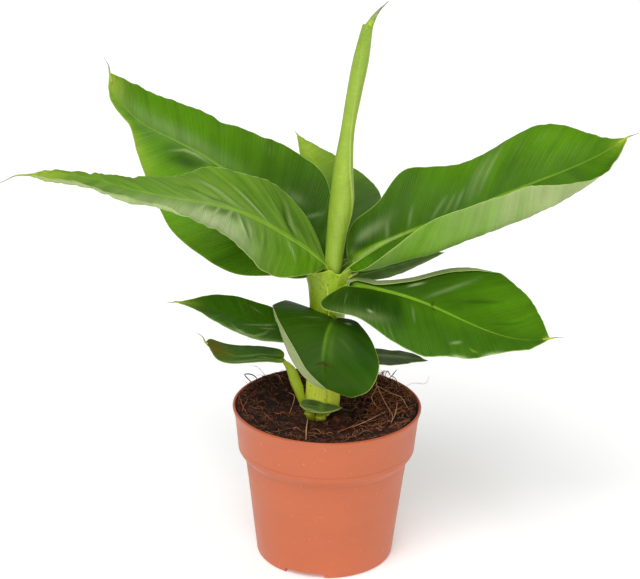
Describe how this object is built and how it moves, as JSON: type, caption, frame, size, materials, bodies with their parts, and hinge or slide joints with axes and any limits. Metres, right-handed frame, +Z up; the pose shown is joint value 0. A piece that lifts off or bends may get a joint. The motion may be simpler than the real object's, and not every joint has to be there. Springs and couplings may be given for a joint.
{
  "type": "potted banana plant",
  "caption": "Young banana plant with broad pointed leaves, a rolled new leaf and a short pseudostem, in a round collared nursery pot full of soil.",
  "frame": {"origin": "centre of the flat underside of the pot", "axes": "+Z up, -Y towards the front of the plant, +X to its right as seen from the front"},
  "size_m": [0.5367, 0.2953, 0.5136],
  "materials": {
    "pot": "satin moulded terracotta-coloured plastic",
    "soil": "damp dark peat with coir fibre",
    "pseudostem": "smooth yellow-green leaf sheaths",
    "rolled_leaf": "soft sheen, pale green",
    "leaf_right": "soft sheen",
    "leaf_left": "soft sheen with a grey bloom",
    "leaf_back_left": "soft sheen",
    "leaf_back": "soft sheen",
    "leaf_low_right": "soft sheen",
    "leaf_front": "soft sheen",
    "leaf_low_left": "soft sheen",
    "leaf_small_left": "soft sheen",
    "leaf_low_back": "soft sheen",
    "leaf_under_right": "soft sheen",
    "leaf_base": "soft sheen"
  },
  "bodies": {
    "root": {"pot": "pot", "soil": "soil", "pseudostem": "pseudostem", "rolled_leaf": "rolled_leaf", "leaf_right": "leaf_right", "leaf_left": "leaf_left", "leaf_back_left": "leaf_back_left", "leaf_back": "leaf_back", "leaf_low_right": "leaf_low_right", "leaf_front": "leaf_front", "leaf_low_left": "leaf_low_left", "leaf_small_left": "leaf_small_left", "leaf_low_back": "leaf_low_back", "leaf_under_right": "leaf_under_right", "leaf_base": "leaf_base"}
  },
  "joints": []
}
